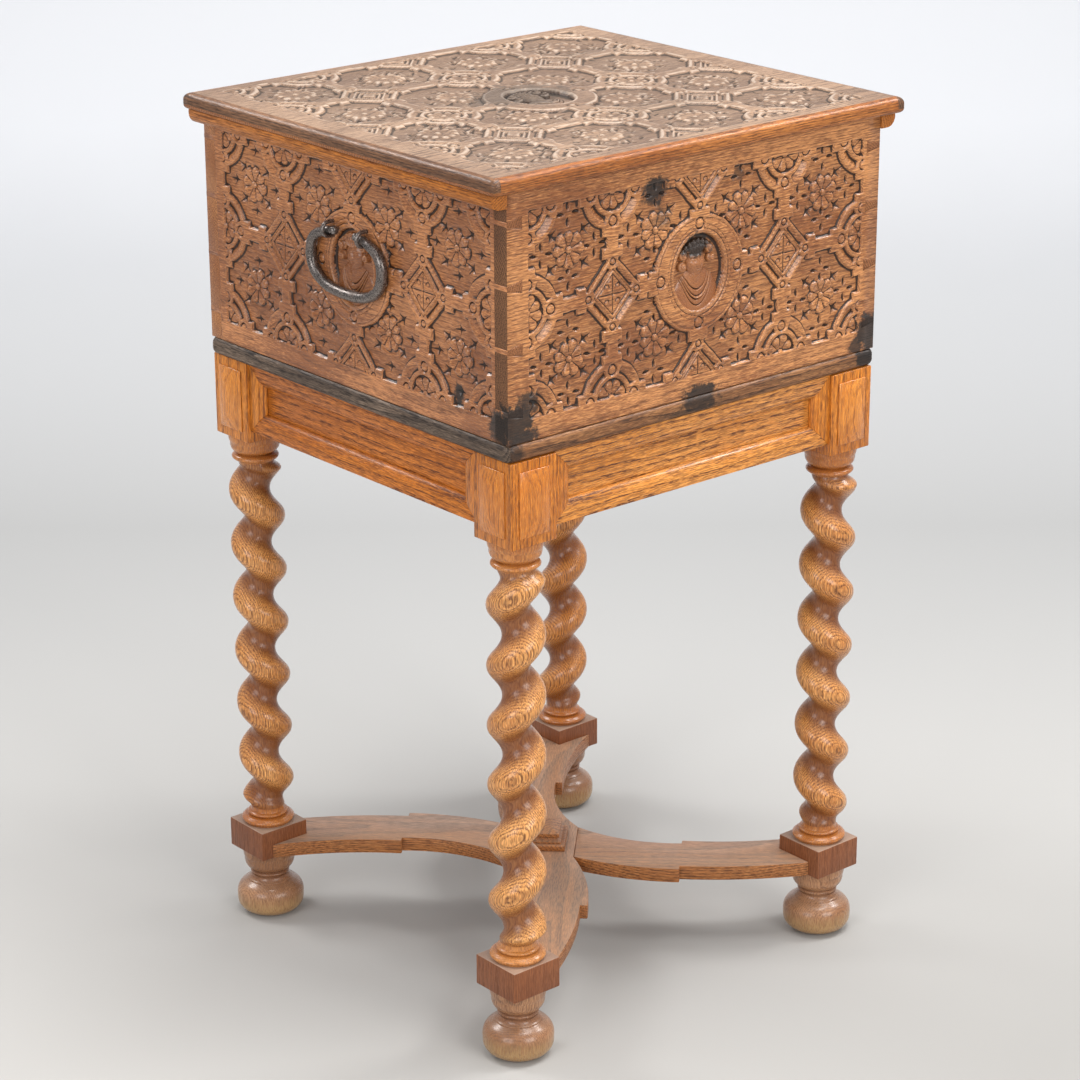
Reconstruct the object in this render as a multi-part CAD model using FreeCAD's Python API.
import FreeCAD, Part
import math
import os

# A carved oak bible box with a hinged lid and iron bail handles, resting on a
# stand with four barley twist legs and a crossed stretcher.
# The box's front looks along -Y, its ends along -X and +X, and +Z is up.
# The origin is on the floor, under the middle of the whole object.
# All lengths are in millimetres and all angles in degrees.

# Stand: outer sizes over the corner blocks, and the height of its top
stand_width = 500.0
stand_depth = 500.0
stand_height = 665.0

# Legs: square blocks at the aprons and at the stretcher
top_block_size = 58.5
top_block_height = 90.0
low_block_size = 62.0
low_block_bottom = 78.0
low_block_height = 34.0

# Barley twist: a round bar whose centre winds round the axis of the leg
twist_bar_radius = 22.7
twist_offset = 7.9
twist_run_in = 15.0
twist_steps_per_turn = 8
right_hand_pitch = 65.5
left_hand_pitch = 63.0
neck_radius = 19.0

# Turned bands above the twist. A rounded stretch of a turning is made of narrow flats.
turned_flats = 4
cup_radius = 28.8
cup_height = 22.0
cup_belly = 2.5
bead_radius = 25.5
bead_height = 7.0
bead_round = 2.2
bead_neck_height = 2.0

# Turned bands below the twist
collar_radius = 29.5
collar_height = 8.5
collar_round = 4.0
ring_radius = 22.5
ring_height = 5.5
ring_round = 2.0
ring_cove_height = 5.0

# Turned feet, below the lower blocks
bun_radius = 38.0
bun_pad_radius = 23.0
bun_belly_height = 20.5
bun_height = 31.0
foot_fillet_radius = 26.0
foot_fillet_height = 3.5
foot_cove_height = 9.5
foot_cove_depth = 1.5
foot_cup_radius = 29.8

# Aprons, tenoned into the top blocks
apron_height = 77.0
apron_thickness = 20.0
apron_setback = 12.0
apron_tenon_length = 24.0
apron_tenon_thickness = 9.0
apron_tenon_height = 55.0

# Mitred moulding round the face of each apron
moulding_flat = 16.0
moulding_round = 7.0
moulding_quirk = 1.0

# Faceted panels on the outer faces of the top blocks
panel_width = 39.0
panel_height = 69.0
panel_edge = 1.5
panel_rise = 4.5
panel_hip = 22.0

# Crossed stretcher. Each arm bows to one side of its diagonal. Its edges are two
# bows each, with a step between them, and are measured from the diagonal.
stretcher_thickness = 17.0
crossing_half = 39.0
step_position = 158.5
inner_step_outside = 62.5
inner_step_inside = -4.5
outer_step_outside = 54.5
outer_step_inside = -12.0
arm_end_outside = 30.5
arm_end_inside = -38.0
inner_bow_outside = 6.7
inner_bow_inside = 12.0
outer_bow_outside = 6.4
outer_bow_inside = 8.5
stretcher_tenon_width = 28.0
stretcher_tenon_thickness = 8.0
stretcher_tenon_length = 18.0

# Small stepped plinth over the crossing
plinth_half = 28.0
plinth_height = 7.0
cap_foot_half = 23.5
cap_neck_half = 18.5
cap_half = 21.5
cap_top_half = 10.5
cap_height = 15.5
plinth_edge = 1.2
plinth_dowel_radius = 5.0
plinth_dowel_bury = 9.0

# Box
box_length = 505.0
box_depth = 497.0
wall_height = 251.5
wall_thickness = 19.0
bottom_thickness = 19.0
bottom_overhang = 2.5
bottom_edge_radius = 7.0
bottom_corner_radius = 10.0
pins_per_corner = 4
pin_wide = 13.0
pin_narrow = 5.0

# Lid
lid_thickness = 17.5
lid_end_overhang = 23.5
lid_front_overhang = 10.5
lid_back_overhang = 1.5
lid_top_radius = 7.0
lid_bottom_radius = 5.0
cleat_width = 20.0
cleat_depth = 15.0
cleat_fillet = 4.0
cleat_gap = 0.5
cleat_front_proud = 1.5
cleat_back_setback = 3.0

# Carving: a ground sunk between raised motifs. C is a circle, L a lozenge and M the
# medallion. Rows run upwards (backwards on the lid), columns to the right as seen.
# Their places are shares of a face's half length and half height, spaced by hand.
ground_depth = 3.6
lid_ground_depth = 2.6
circle_radius = 37.0
circle_sides = 16
lozenge_half_width = 38.5
lozenge_half_height = 40.5
strap_half_width = 6.3
rosette_radius = 18.0
rosette_petals = 8
rosette_sink = 0.8
rosette_slope = 4.0
medallion_radius = 59.5
medallion_sides = 24
oval_half_width = 35.0
oval_half_height = 40.0
oval_rise = 1.5
oval_depth = 7.0
oval_sides = 16
bust_sides = 12
head_half_width = 15.0
head_half_height = 18.0
head_height = 18.0
head_sink = 2.2
shoulders_half_width = 25.0
shoulders_half_height = 19.0
shoulders_drop = 18.0
shoulders_sink = 3.4
wall_motifs = ["CCLCC", "CLMLC", "CCLCC"]
lid_motifs = ["CCLCC", "CLCLC", "LCMCL", "CLCLC", "CCLCC"]
wall_rows = [-0.829, 0.014, 0.833]
front_columns = [-0.893, -0.463, -0.004, 0.461, 0.911]
left_end_columns = [-0.879, -0.447, 0.016, 0.475, 0.901]
right_end_columns = [-0.893, -0.455, 0.0, 0.459, 0.893]
lid_columns = [-0.873, -0.493, -0.029, 0.431, 0.873]
lid_rows = [-0.914, -0.456, -0.024, 0.464, 0.914]

# Nails, forged square
nail_half = 1.6
nail_head_half = 3.3
nail_head_thickness = 1.6
bottom_nail_length = 46.0
bottom_nail_inset = 90.0
cleat_nail_length = 26.0
cleat_nails_each = 3
cleat_nail_inset = 60.0

# Hinges: an iron eye in the back board and a staple in the lid's back edge
hinge_spread = 340.0
eye_inner_radius = 2.0
eye_bar_radius = 1.6
eye_standoff = 0.1
eye_drop = 6.5
eye_shank = 15.0
lid_staple_radius = 1.5
lid_staple_half_width = 6.5
lid_staple_shank = 22.0

# Bail handles and their staples, one pair on each end of the box
bail_radius = 5.2
bail_half_width = 59.0
bail_shoulder_drop = 28.0
bail_bottom_drop = 63.0
bail_squareness = 2.5
bail_tail_half = 19.0
bail_height_on_wall = 164.0
bail_shift = -3.0
bail_wall_gap = 1.0
bail_staple_half_spacing = 28.0
bail_staple_radius = 1.8
bail_staple_clearance = 0.5
bail_staple_shank = 15.0

# Heights and places that follow from the sizes above
apron_bottom = stand_height - apron_height
top_block_bottom = stand_height - top_block_height
low_block_top = low_block_bottom + low_block_height
stretcher_bottom = low_block_bottom
stretcher_top = stretcher_bottom + stretcher_thickness
plinth_top = stretcher_top + plinth_height
cap_top = plinth_top + cap_height
bottom_z = stand_height
wall_z = bottom_z + bottom_thickness
lid_z = wall_z + wall_height
half_length = box_length / 2
half_depth = box_depth / 2
lid_front = -half_depth - lid_front_overhang
lid_back = half_depth + lid_back_overhang
lid_half_length = half_length + lid_end_overhang
moulding_depth = moulding_round + moulding_quirk

# Legs: name, side of the middle in X and in Y, hand of the twist seen from
# above as it rises (+1 anticlockwise), and direction of the bar at half height
legs = [
    ("front_left", -1, -1, 1, -58.0),
    ("back_left", -1, 1, -1, 53.0),
    ("front_right", 1, -1, -1, -8.0),
    ("back_right", 1, 1, 1, 55.0),
]


def vector(x, y, z):
    return FreeCAD.Vector(x, y, z)


def block(low, high):
    size = [b - a for a, b in zip(low, high)]
    return Part.makeBox(size[0], size[1], size[2], vector(*low))


def outline_face(points):
    return Part.Face(Part.makePolygon([vector(*p) for p in points + points[:1]]))


def bowed_points(start, end, bow):
    """Points after start on an arc to end, which bows to the right of its way by bow."""
    run_r = end[0] - start[0]
    run_z = end[1] - start[1]
    chord = math.hypot(run_r, run_z)
    if bow == 0:
        return [(end[0], end[1])]
    half_turn = 2 * math.atan(2 * bow / chord)
    radius = chord / (2 * math.sin(half_turn))
    points = []
    for k in range(1, turned_flats + 1):
        turn = half_turn * (2 * k / turned_flats - 1)
        along = 0.5 + radius * math.sin(turn) / chord
        out = radius * (math.cos(turn) - math.cos(half_turn)) / chord
        points.append((start[0] + run_r * along + run_z * out, start[1] + run_z * along - run_r * out))
    return points


def turned(profile, centre):
    """Turns a profile round the upright axis at centre. Each point of the profile is
    a radius, a height and how far the stretch that ends there bows outwards."""
    outline = [(0.0, profile[0][1]), profile[0][:2]]
    for start, end in zip(profile, profile[1:]):
        if start[:2] != end[:2]:
            outline += bowed_points(start, end, end[2])
    outline.append((0.0, profile[-1][1]))
    solid = outline_face([(r, 0, z) for r, z in outline]).revolve(vector(0, 0, 0), vector(0, 0, 1), 360)
    solid.translate(vector(centre[0], centre[1], 0))
    return solid


def joined(shapes):
    return shapes[0].fuse(shapes[1:]).removeSplitter()


def forged_bar(path, radius, sides):
    """A bar of regular section, mitred at each corner of its path."""
    points = [vector(*p) for p in path]
    runs = [(b - a).normalize() for a, b in zip(points, points[1:])]
    across = runs[0].cross(vector(0.31, 0.47, 0.83)).normalize()
    other = runs[0].cross(across)
    section = []
    for k in range(sides):
        angle = 2 * math.pi * (k + 0.5) / sides
        section.append(points[0] + across * (radius * math.cos(angle)) + other * (radius * math.sin(angle)))
    wires = [Part.makePolygon(section + section[:1])]
    for i, run in enumerate(runs):
        following = runs[min(i + 1, len(runs) - 1)]
        normal = run + following
        moved = []
        for q in section:
            moved.append(q + run * ((points[i + 1] - q).dot(normal) / run.dot(normal)))
        section = moved
        wires.append(Part.makePolygon(section + section[:1]))
    return Part.makeLoft(wires, True, True)


def leg_centre(side_x, side_y):
    inset = top_block_size / 2
    return side_x * (stand_width / 2 - inset), side_y * (stand_depth / 2 - inset)


# Heights of the turned bands, from the floor up
foot_fillet_top = bun_height + foot_fillet_height
foot_cove_top = foot_fillet_top + foot_cove_height
foot_ring_top = foot_cove_top + ring_height
collar_top = low_block_top + collar_height
ring_top = collar_top + ring_height
twist_bottom = ring_top + ring_cove_height
cup_bottom = top_block_bottom - cup_height
bead_bottom = cup_bottom - bead_height
twist_top = bead_bottom - bead_neck_height


def half_round(low, high, radius, bow, neck):
    """A bead between two heights, on a neck, with shoulders above and below it."""
    shoulder = radius - bow
    return [(neck, low, 0), (shoulder, low, 0), (shoulder, high, bow), (neck, high, 0)]


def cup(low, high, radius):
    """A bell that swells from the neck to its rim."""
    lip = low + 0.62 * (high - low)
    return [(neck_radius, low, 0), (radius - 1.2, lip, cup_belly), (radius, high, 0.3)]


def foot_profile():
    bun = [
        (bun_pad_radius, 0, 0), (bun_radius, bun_belly_height, 4.5), (foot_fillet_radius, bun_height, 3.3),
        (foot_fillet_radius, foot_fillet_top, 0), (neck_radius + 1, foot_cove_top, -foot_cove_depth),
    ]
    ring = half_round(foot_cove_top, foot_ring_top, ring_radius, ring_round, neck_radius)
    return bun + ring + cup(foot_ring_top, low_block_bottom, foot_cup_radius)


def low_turning_profile():
    collar = half_round(low_block_top, collar_top, collar_radius, collar_round, neck_radius)
    ring = half_round(collar_top, ring_top, ring_radius, ring_round, neck_radius)
    return collar + ring + [(neck_radius, twist_bottom, 0)]


def top_turning_profile():
    bead = half_round(bead_bottom, cup_bottom, bead_radius, bead_round, neck_radius)
    return [(neck_radius, twist_top, 0)] + bead + cup(cup_bottom, top_block_bottom, cup_radius)


def barley_twist(centre, hand, half_height_angle):
    """Twisted shaft: level sections of one round bar whose centre winds round the axis."""
    pitch = right_hand_pitch if hand > 0 else left_hand_pitch
    length = twist_top - twist_bottom
    middle = (twist_top + twist_bottom) / 2
    steps = math.ceil(length / pitch * twist_steps_per_turn)
    wires = []
    for i in range(steps + 1):
        height = twist_bottom + length * i / steps
        share = min(min(height - twist_bottom, twist_top - height) / twist_run_in, 1.0)
        swell = share * share * (3 - 2 * share)
        radius = neck_radius + (twist_bar_radius - neck_radius) * swell
        angle = math.radians(half_height_angle) + hand * 2 * math.pi * (height - middle) / pitch
        x = centre[0] + twist_offset * swell * math.cos(angle)
        y = centre[1] + twist_offset * swell * math.sin(angle)
        wires.append(Part.Wire([Part.Circle(vector(x, y, height), vector(0, 0, 1), radius).toShape()]))
    return Part.makeLoft(wires, True, True)


def square_block(centre, size, low, high):
    half = size / 2
    return block((centre[0] - half, centre[1] - half, low), (centre[0] + half, centre[1] + half, high))


def make_leg(centre, hand, angle):
    """One leg, cut and turned from a single post, from its bun foot to its top block."""
    return joined([
        turned(foot_profile(), centre),
        square_block(centre, low_block_size, low_block_bottom, low_block_top),
        turned(low_turning_profile(), centre),
        barley_twist(centre, hand, angle),
        turned(top_turning_profile(), centre),
        square_block(centre, top_block_size, top_block_bottom, stand_height),
    ])


# Aprons: each is drawn along +X with its face towards -Y, then turned to its side
apron_sides = [
    ("front", 0, stand_width, stand_depth),
    ("right", 90, stand_depth, stand_width),
    ("back", 180, stand_width, stand_depth),
    ("left", 270, stand_depth, stand_width),
]


def turned_to_side(shape, angle):
    shape.rotate(vector(0, 0, 0), vector(0, 0, 1), angle)
    return shape


def apron_tenons(span, across):
    """Tenons of one apron, at both of its ends."""
    half = span / 2 - top_block_size
    face = -across / 2 + apron_setback
    y = face + (apron_thickness - apron_tenon_thickness) / 2
    z = apron_bottom + (apron_height - apron_tenon_height) / 2
    tenons = []
    for side in (-1, 1):
        ends = sorted([side * half, side * (half + apron_tenon_length)])
        tenons.append(block((ends[0], y, z), (ends[1], y + apron_tenon_thickness, z + apron_tenon_height)))
    return tenons


def make_apron(span, across):
    half = span / 2 - top_block_size
    face = -across / 2 + apron_setback
    board = block((-half, face, apron_bottom), (half, face + apron_thickness, stand_height))
    return joined([board] + apron_tenons(span, across))


def moulding_strip(length):
    """A strip of the frame along +X, its outer edge on the X axis, its back at y = 0."""
    depth = -moulding_depth
    width = moulding_flat + moulding_round
    start = vector(0, -moulding_round, moulding_flat)
    middle = vector(0, -moulding_round * math.sin(math.radians(45)),
                    moulding_flat + moulding_round * math.cos(math.radians(45)))
    end = vector(0, 0, width)
    round_edge = Part.Arc(start, middle, end).toShape()
    straight = Part.makePolygon([end, vector(0, 0, 0), vector(0, depth, 0), vector(0, depth, moulding_flat), start])
    profile = Part.Face(Part.Wire(straight.Edges + [round_edge]))
    strip = profile.extrude(vector(length, 0, 0))
    mitre = outline_face([(0, 0, 0), (length, 0, 0), (length - width, 0, width), (width, 0, width)])
    return strip.common(mitre.extrude(vector(0, depth, 0)))


def make_moulding(span, across):
    """The four mitred strips round one apron's face."""
    length = span - 2 * top_block_size
    middle_z = apron_bottom + apron_height / 2
    strips = []
    for turn in (0, 90, 180, 270):
        run = length if turn in (0, 180) else apron_height
        reach = apron_height / 2 if turn in (0, 180) else length / 2
        strip = moulding_strip(run)
        strip.translate(vector(-run / 2, 0, -reach))
        strip.rotate(vector(0, 0, 0), vector(0, 1, 0), turn)
        strip.translate(vector(0, -across / 2 + apron_setback, middle_z))
        strips.append(strip)
    return strips


def make_panel(centre, side, across_x):
    """Faceted panel on one outer face of a top block, with hipped ends."""
    face_centre = (panel_width / 2, panel_height / 2)
    base = [(-face_centre[0], -face_centre[1]), (face_centre[0], -face_centre[1]),
            (face_centre[0], face_centre[1]), (-face_centre[0], face_centre[1])]
    slab = outline_face([(a, 0, b) for a, b in base]).extrude(vector(0, -panel_edge, 0))
    ridge_half = face_centre[1] - panel_hip
    top = -panel_edge - panel_rise
    corners = [vector(a, -panel_edge, b) for a, b in base]
    low = vector(0, top, -ridge_half)
    high = vector(0, top, ridge_half)
    faces = [
        Part.Face(Part.makePolygon(corners + corners[:1])),
        Part.Face(Part.makePolygon([corners[0], corners[1], low, corners[0]])),
        Part.Face(Part.makePolygon([corners[1], corners[2], high, low, corners[1]])),
        Part.Face(Part.makePolygon([corners[2], corners[3], high, corners[2]])),
        Part.Face(Part.makePolygon([corners[3], corners[0], low, high, corners[3]])),
    ]
    hip = Part.Solid(Part.Shell(faces))
    panel = joined([slab, hip])
    middle_z = stand_height - top_block_height / 2
    half = top_block_size / 2
    if across_x:
        turned_to_side(panel, 90 if side > 0 else 270)
        panel.translate(vector(centre[0] + side * half, centre[1], middle_z))
    else:
        turned_to_side(panel, 180 if side > 0 else 0)
        panel.translate(vector(centre[0], centre[1] + side * half, middle_z))
    return panel


def on_arm(side_x, side_y, along, outside, height):
    """Place of a point at a distance along an arm and towards the side it bows to."""
    scale = math.sqrt(0.5)
    return vector((side_x * along - side_x * outside) * scale, (side_y * along + side_y * outside) * scale, height)


def make_arm(side_x, side_y):
    """One curved arm from the crossing to its leg, stepped on both edges half way."""
    end = leg_centre(1, 1)[0] * math.sqrt(2)
    outline = [
        (crossing_half, crossing_half, 0),
        (step_position, inner_step_outside, inner_bow_outside),
        (step_position, outer_step_outside, 0),
        (end, arm_end_outside, outer_bow_outside),
        (end, arm_end_inside, 0),
        (step_position, outer_step_inside, outer_bow_inside),
        (step_position, inner_step_inside, 0),
        (crossing_half, -crossing_half, inner_bow_inside),
        (crossing_half, crossing_half, 0),
    ]
    edges = []
    for start, finish in zip(outline, outline[1:]):
        first = on_arm(side_x, side_y, start[0], start[1], stretcher_bottom)
        last = on_arm(side_x, side_y, finish[0], finish[1], stretcher_bottom)
        if finish[2] == 0:
            edges.append(Part.LineSegment(first, last).toShape())
        else:
            along = (start[0] + finish[0]) / 2
            outside = (start[1] + finish[1]) / 2 + finish[2]
            middle = on_arm(side_x, side_y, along, outside, stretcher_bottom)
            edges.append(Part.Arc(first, middle, last).toShape())
    arm = Part.Face(Part.Wire(edges)).extrude(vector(0, 0, stretcher_thickness))
    centre = leg_centre(side_x, side_y)
    return arm.cut(square_block(centre, low_block_size, low_block_bottom, low_block_top))


def arm_block(side_x, side_y, start, finish, width, thickness):
    """A block along an arm's middle line, such as a tenon."""
    low = stretcher_bottom + (stretcher_thickness - thickness) / 2
    corners = [(start, -width / 2), (finish, -width / 2), (finish, width / 2), (start, width / 2)]
    points = [on_arm(side_x, side_y, along, outside, low) for along, outside in corners]
    return Part.Face(Part.makePolygon(points + points[:1])).extrude(vector(0, 0, thickness))


def leg_tenon(side_x, side_y):
    """Tenon of an arm into the inner corner of its leg's lower block."""
    corner = (leg_centre(1, 1)[0] - low_block_size / 2) * math.sqrt(2)
    tenon = arm_block(side_x, side_y, corner - 4.0, corner + stretcher_tenon_length,
                      stretcher_tenon_width, stretcher_tenon_thickness)
    centre = leg_centre(side_x, side_y)
    return tenon.common(square_block(centre, low_block_size, low_block_bottom, low_block_top))


def crossing_tenon(side_x, side_y):
    """Tenon of a short arm into the long piece at the crossing."""
    return arm_block(side_x, side_y, crossing_half - stretcher_tenon_length, crossing_half,
                     stretcher_tenon_width, stretcher_tenon_thickness)


def square_wire(half, height):
    """A square whose sides run along the two arms of the stretcher."""
    reach = half * math.sqrt(2)
    points = [vector(reach, 0, height), vector(0, reach, height), vector(-reach, 0, height), vector(0, -reach, height)]
    return Part.makePolygon(points + points[:1])


def stacked_squares(levels):
    return Part.makeLoft([square_wire(half, height) for half, height in levels], True, True)


def make_plinth_base():
    return stacked_squares([
        (plinth_half, stretcher_top),
        (plinth_half, plinth_top - plinth_edge),
        (plinth_half - plinth_edge, plinth_top),
    ])


def make_plinth_cap():
    levels = [
        (cap_foot_half, 0.0), (cap_foot_half, 0.13), (cap_neck_half + 1.5, 0.24), (cap_neck_half, 0.38),
        (cap_half, 0.45), (cap_half, 0.72), (cap_top_half, 1.0),
    ]
    return stacked_squares([(half, plinth_top + share * cap_height) for half, share in levels])


def make_plinth_dowel():
    length = 2 * plinth_dowel_bury + plinth_height
    return Part.makeCylinder(plinth_dowel_radius, length, vector(0, 0, stretcher_top - plinth_dowel_bury))


# Box boards: the front and back boards lap the ends with through dovetails
inner_half_length = half_length - wall_thickness
inner_half_depth = half_depth - wall_thickness


def corner_pins(side_x, side_y):
    """Dovetail pins of an end board at one corner, narrow at the outer face."""
    spacing = wall_height / pins_per_corner
    pins = []
    for k in range(pins_per_corner):
        z = wall_z + spacing * (k + 0.5)
        outline = [
            (side_x * half_length, z - pin_narrow / 2),
            (side_x * half_length, z + pin_narrow / 2),
            (side_x * inner_half_length, z + pin_wide / 2),
            (side_x * inner_half_length, z - pin_wide / 2),
        ]
        start = side_y * inner_half_depth
        face = outline_face([(x, start, height) for x, height in outline])
        pins.append(face.extrude(vector(0, side_y * wall_thickness, 0)))
    return pins


def make_long_board(side_y):
    ys = sorted([side_y * inner_half_depth, side_y * half_depth])
    board = block((-half_length, ys[0], wall_z), (half_length, ys[1], lid_z))
    return board.cut(corner_pins(-1, side_y) + corner_pins(1, side_y))


def make_end_board(side_x):
    xs = sorted([side_x * inner_half_length, side_x * half_length])
    board = block((xs[0], -inner_half_depth, wall_z), (xs[1], inner_half_depth, lid_z))
    return joined([board] + corner_pins(side_x, -1) + corner_pins(side_x, 1))


def make_bottom():
    reach_x = half_length + bottom_overhang
    reach_y = half_depth + bottom_overhang
    board = block((-reach_x, -reach_y, bottom_z), (reach_x, reach_y, wall_z))
    corners = [e for e in board.Edges if abs(e.Vertexes[0].Z - e.Vertexes[1].Z) > bottom_thickness / 2]
    board = board.makeFillet(bottom_corner_radius, corners)
    faces = [f for f in board.Faces if abs(f.normalAt(0, 0).z) > 0.9]
    rims = [e for f in faces for e in f.OuterWire.Edges]
    return board.makeFillet(bottom_edge_radius, rims)


def nail(x, y, head_z, length):
    """A nail driven upwards, its head flush with the face it enters."""

    def square_bar(half, rise):
        return block((x - half, y - half, head_z), (x + half, y + half, head_z + rise))

    return joined([square_bar(nail_head_half, nail_head_thickness), square_bar(nail_half, length)])


def bottom_nail_places():
    reach_x = half_length - wall_thickness / 2
    reach_y = half_depth - wall_thickness / 2
    along_x = half_length - bottom_nail_inset
    along_y = half_depth - bottom_nail_inset
    places = [(side * along_x, edge * reach_y) for side in (-1, 1) for edge in (-1, 1)]
    return places + [(edge * reach_x, side * along_y) for side in (-1, 1) for edge in (-1, 1)]


# What the carver takes away from a face, drawn on the level with the face's middle at
# the origin, its surface at height 0 and its own up direction along +Y
above_face = 1.0


def oval_points(centre, half_a, half_b, sides):
    points = []
    for k in range(sides):
        turn = 2 * math.pi * (k + 0.5) / sides
        points.append((centre[0] + half_a * math.cos(turn), centre[1] + half_b * math.sin(turn)))
    return points


def prism(points, low, high):
    return outline_face([(a, b, low) for a, b in points]).extrude(vector(0, 0, high - low))


def motif(kind, centre, depth):
    a, b = centre
    if kind == "L":
        points = [(a + lozenge_half_width, b), (a, b + lozenge_half_height),
                  (a - lozenge_half_width, b), (a, b - lozenge_half_height)]
    elif kind == "M":
        points = oval_points(centre, medallion_radius, medallion_radius, medallion_sides)
    else:
        points = oval_points(centre, circle_radius, circle_radius, circle_sides)
    return prism(points, -depth, above_face)


def rosette(centre, ground):
    """Rosette in the middle of a cell, one sloping side to each petal."""
    wires = []
    for radius, height in ((rosette_radius, -ground), (rosette_radius - rosette_slope, -rosette_sink)):
        points = [vector(a, b, height) for a, b in oval_points(centre, radius, radius, rosette_petals)]
        wires.append(Part.makePolygon(points + points[:1]))
    return Part.makeLoft(wires, True, True)


def cell_pocket(xs, ys, i, j, motifs, ground):
    """Sunk ground of one cell, between four motifs and the straps that join them."""
    straps = [strap_half_width if inner else 0.0
              for inner in (i > 0, j > 0, i + 2 < len(xs), j + 2 < len(ys))]
    low = (xs[i] + straps[0], ys[j] + straps[1], -ground)
    high = (xs[i + 1] - straps[2], ys[j + 1] - straps[3], above_face)
    raised = [motif(motifs[n][m], (xs[m], ys[n]), ground) for m in (i, i + 1) for n in (j, j + 1)]
    middle = ((xs[i] + xs[i + 1]) / 2, (ys[j] + ys[j + 1]) / 2)
    return block(low, high).cut(raised + [rosette(middle, ground)])


def medallion_recess(centre):
    """Oval recess of the medallion, less the plain masses of the bust that stands in it."""
    a, b = centre
    oval = oval_points((a, b + oval_rise), oval_half_width, oval_half_height, oval_sides)
    head = oval_points((a, b + head_height), head_half_width, head_half_height, bust_sides)
    shoulders = oval_points((a, b - shoulders_drop), shoulders_half_width, shoulders_half_height, bust_sides)
    bust = joined([prism(head, -oval_depth, -head_sink), prism(shoulders, -oval_depth, -shoulders_sink)])
    return prism(oval, -oval_depth, above_face).cut(bust)


def carving(half_a, half_b, columns, rows, motifs, ground):
    xs = [share * half_a for share in columns]
    ys = [share * half_b for share in rows]
    cuts = []
    for j in range(len(ys) - 1):
        for i in range(len(xs) - 1):
            cuts.append(cell_pocket(xs, ys, i, j, motifs, ground))
    for j, row in enumerate(motifs):
        cuts += [medallion_recess((xs[i], ys[j])) for i, kind in enumerate(row) if kind == "M"]
    return cuts


def wall_carving(half_a, columns, angle, distance):
    cuts = carving(half_a, wall_height / 2, columns, wall_rows, wall_motifs, ground_depth)
    placed = []
    for cut in cuts:
        cut.rotate(vector(0, 0, 0), vector(1, 0, 0), 90)
        cut.translate(vector(0, -distance, wall_z + wall_height / 2))
        placed.append(turned_to_side(cut, angle))
    return placed


def lid_carving():
    half_b = (lid_back - lid_front) / 2
    cuts = carving(lid_half_length, half_b, lid_columns, lid_rows, lid_motifs, lid_ground_depth)
    for cut in cuts:
        cut.translate(vector(0, (lid_back + lid_front) / 2, lid_z + lid_thickness))
    return cuts


def make_lid_board():
    board = block((-lid_half_length, lid_front, lid_z), (lid_half_length, lid_back, lid_z + lid_thickness))
    top = [f for f in board.Faces if f.normalAt(0, 0).z > 0.9][0]
    board = board.makeFillet(lid_top_radius, top.OuterWire.Edges)
    bottom = [f for f in board.Faces if f.normalAt(0, 0).z < -0.9][0]
    return board.makeFillet(lid_bottom_radius, bottom.OuterWire.Edges)


# Cleats: a quarter round between a narrow flat underneath and a fillet by the lid
cleat_inner = half_length + cleat_gap
cleat_outer = cleat_inner + cleat_width
cleat_bottom = lid_z - cleat_depth
cleat_round = cleat_depth - cleat_fillet


def make_cleat(side_x):
    """Moulded batten under one end of the lid, outside the box."""
    front = -half_depth - cleat_front_proud
    back = half_depth - cleat_back_setback
    round_start = cleat_outer - cleat_round
    half_way = cleat_round * math.sqrt(0.5)

    def at(x, z):
        return vector(side_x * x, front, z)

    ovolo = Part.Arc(
        at(cleat_outer, lid_z - cleat_fillet),
        at(round_start + half_way, lid_z - cleat_fillet - half_way),
        at(round_start, cleat_bottom),
    ).toShape()
    rest = Part.makePolygon([
        at(round_start, cleat_bottom), at(cleat_inner, cleat_bottom), at(cleat_inner, lid_z),
        at(cleat_outer, lid_z), at(cleat_outer, lid_z - cleat_fillet),
    ])
    profile = Part.Face(Part.Wire(rest.Edges + [ovolo]))
    return profile.extrude(vector(0, back - front, 0))


def cleat_nail_places():
    x = cleat_inner + (cleat_width - cleat_round) / 2
    reach = half_depth - cleat_nail_inset
    places = []
    for side in (-1, 1):
        for k in range(cleat_nails_each):
            places.append((side * x, -reach + 2 * reach * k / (cleat_nails_each - 1)))
    return places


# Hinge axis: behind the back board, below the underside of the lid
eye_radius = eye_inner_radius + eye_bar_radius
hinge_y = half_depth + eye_radius + eye_bar_radius + eye_standoff
hinge_z = lid_z - eye_drop
staple_z = lid_z + (lid_bottom_radius + lid_thickness - lid_top_radius) / 2


def hinge_eye(x):
    """Split pin eye: one bar bent round the hinge axis, both ends in the back board."""
    opening = math.degrees(math.asin(eye_bar_radius / eye_radius))
    segments = 10
    sweep = 360 - 2 * opening
    inner = half_depth - eye_shank
    path = [(x, inner, hinge_z + eye_bar_radius)]
    for k in range(segments + 1):
        angle = math.radians(180 - opening - sweep * k / segments)
        path.append((x, hinge_y + eye_radius * math.cos(angle), hinge_z + eye_radius * math.sin(angle)))
    path.append((x, inner, hinge_z - eye_bar_radius))
    return forged_bar(path, eye_bar_radius, 6)


def hinge_staple(x):
    """Staple whose crossbar turns in the eye, its ends in the lid's back edge."""
    inside = lid_back - lid_staple_shank
    left = x - lid_staple_half_width
    right = x + lid_staple_half_width
    return forged_bar([
        (left, inside, staple_z), (left, hinge_y, staple_z), (left, hinge_y, hinge_z),
        (right, hinge_y, hinge_z), (right, hinge_y, staple_z), (right, inside, staple_z),
    ], lid_staple_radius, 6)


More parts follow.
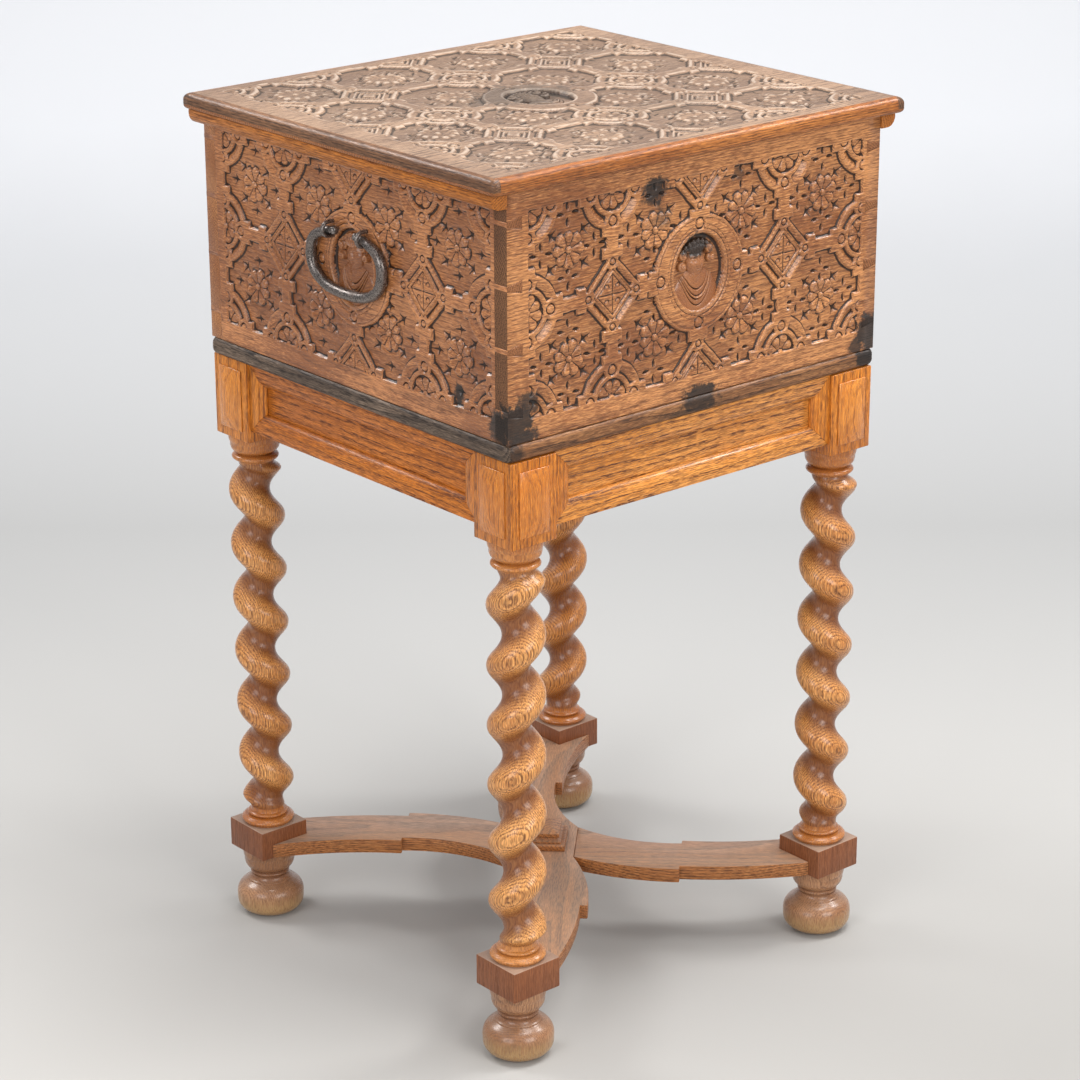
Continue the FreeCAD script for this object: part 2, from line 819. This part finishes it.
# Bail axis: level, along the end of the box
bail_axis_x = half_length + bail_wall_gap + bail_radius
bail_axis_z = wall_z + bail_height_on_wall
bail_staple_bend = bail_radius + bail_staple_clearance + bail_staple_radius


def bail_half_curve():
    """Half of the bail, from its shoulder round to the middle of its grip."""
    power = 2 / bail_squareness
    points = []
    for degrees in (50, 30, 10, -10, -30, -50, -70):
        turn = math.radians(degrees)
        y = bail_half_width * math.cos(turn) ** power
        reach = bail_shoulder_drop if degrees > 0 else bail_bottom_drop - bail_shoulder_drop
        rise = math.copysign(abs(math.sin(turn)) ** power, degrees)
        points.append((y, -bail_shoulder_drop + reach * rise))
    return points


def make_bail(side_x):
    shoulder = bail_staple_half_spacing + bail_staple_radius + 4.0
    half = [(bail_tail_half, 0.0), (shoulder, 0.0)] + bail_half_curve()
    around = half + [(0.0, -bail_bottom_drop)] + [(-y, z) for y, z in reversed(half)]
    x = side_x * bail_axis_x
    return forged_bar([(x, bail_shift + y, bail_axis_z + z) for y, z in around], bail_radius, 8)


def bail_staple(side_x, y):
    """Staple round the tail of a bail, its two ends driven into the end board."""
    inside = half_length - bail_staple_shank
    path = [(side_x * inside, y, bail_axis_z + bail_staple_bend)]
    segments = 6
    for k in range(segments + 1):
        angle = math.radians(90 - 180 * k / segments)
        reach = bail_axis_x + bail_staple_bend * math.cos(angle)
        path.append((side_x * reach, y, bail_axis_z + bail_staple_bend * math.sin(angle)))
    path.append((side_x * inside, y, bail_axis_z - bail_staple_bend))
    return forged_bar(path, bail_staple_radius, 6)


def build():
    nodes = {}

    # Stand
    all_tenons = []
    for name, angle, span, across in apron_sides:
        nodes["apron_" + name] = turned_to_side(make_apron(span, across), angle)
        all_tenons += [turned_to_side(tenon, angle) for tenon in apron_tenons(span, across)]
        strips = [turned_to_side(strip, angle) for strip in make_moulding(span, across)]
        nodes["apron_moulding_" + name] = Part.makeCompound(strips)
    arms = {}
    for name, side_x, side_y, hand, angle in legs:
        centre = leg_centre(side_x, side_y)
        tenon = leg_tenon(side_x, side_y)
        nodes["leg_" + name] = make_leg(centre, hand, angle).cut(all_tenons + [tenon])
        arms[name] = joined([make_arm(side_x, side_y), tenon])
        nodes["block_panel_" + name + "_face"] = make_panel(centre, side_y, False)
        nodes["block_panel_" + name + "_side"] = make_panel(centre, side_x, True)

    # Stretcher: one long piece and two short arms tenoned into its sides
    crossing = stacked_squares([(crossing_half, stretcher_bottom), (crossing_half, stretcher_top)])
    mortises = [crossing_tenon(-1, 1), crossing_tenon(1, -1)]
    long_piece = joined([arms["front_left"], crossing, arms["back_right"]])
    nodes["stretcher_long_piece"] = long_piece.cut(mortises)
    nodes["stretcher_arm_left"] = joined([arms["back_left"], mortises[0]])
    nodes["stretcher_arm_right"] = joined([arms["front_right"], mortises[1]])
    dowel = make_plinth_dowel()
    nodes["stretcher_long_piece"] = nodes["stretcher_long_piece"].cut(dowel)
    nodes["plinth_base"] = make_plinth_base().cut(dowel)
    nodes["plinth_cap"] = make_plinth_cap().cut(dowel)
    nodes["plinth_dowel"] = dowel

    # Box
    boards = {
        "box_front_board": make_long_board(-1),
        "box_back_board": make_long_board(1),
        "box_left_end": make_end_board(-1),
        "box_right_end": make_end_board(1),
        "box_bottom_board": make_bottom(),
    }
    bottom_nails = [nail(x, y, bottom_z, bottom_nail_length) for x, y in bottom_nail_places()]
    eyes = {"left": hinge_eye(-hinge_spread / 2), "right": hinge_eye(hinge_spread / 2)}
    bail_staples = {}
    for side_name, side_x in (("left", -1), ("right", 1)):
        for end_name, side_y in (("front", -1), ("back", 1)):
            y = bail_shift + side_y * bail_staple_half_spacing
            bail_staples["bail_staple_" + side_name + "_" + end_name] = bail_staple(side_x, y)
        nodes["bail_" + side_name] = make_bail(side_x)
    fixings = bottom_nails + list(eyes.values()) + list(bail_staples.values())
    carvings = {
        "box_front_board": wall_carving(half_length, front_columns, 0, half_depth),
        "box_left_end": wall_carving(half_depth, left_end_columns, -90, half_length),
        "box_right_end": wall_carving(half_depth, right_end_columns, 90, half_length),
    }
    for name, board in boards.items():
        nodes[name] = board.cut(fixings + carvings.get(name, []))
    nodes["bottom_nails"] = Part.makeCompound(bottom_nails)
    nodes["hinge_eye_left"] = eyes["left"]
    nodes["hinge_eye_right"] = eyes["right"]
    nodes.update(bail_staples)

    # Lid
    staples = {"left": hinge_staple(-hinge_spread / 2), "right": hinge_staple(hinge_spread / 2)}
    cleat_nails = [nail(x, y, cleat_bottom, cleat_nail_length) for x, y in cleat_nail_places()]
    nodes["lid_board"] = make_lid_board().cut(cleat_nails + list(staples.values()) + lid_carving())
    nodes["lid_cleat_left"] = make_cleat(-1).cut(cleat_nails)
    nodes["lid_cleat_right"] = make_cleat(1).cut(cleat_nails)
    nodes["cleat_nails"] = Part.makeCompound(cleat_nails)
    nodes["hinge_staple_left"] = staples["left"]
    nodes["hinge_staple_right"] = staples["right"]
    return nodes


def main():
    os.makedirs("parts", exist_ok=True)
    nodes = build()
    for name, shape in nodes.items():
        shape.exportStep("parts/" + name + ".step")
        box = shape.BoundBox
        print("%-34s solids %2d valid %s volume %10.0f z %.1f to %.1f"
              % (name, len(shape.Solids), shape.isValid(), shape.Volume, box.ZMin, box.ZMax))
    whole = Part.makeCompound(list(nodes.values())).BoundBox
    print("nodes", len(nodes), "size", [round(v, 2) for v in (whole.XMin, whole.XMax, whole.YMin, whole.YMax,
                                                             whole.ZMin, whole.ZMax)])


main()
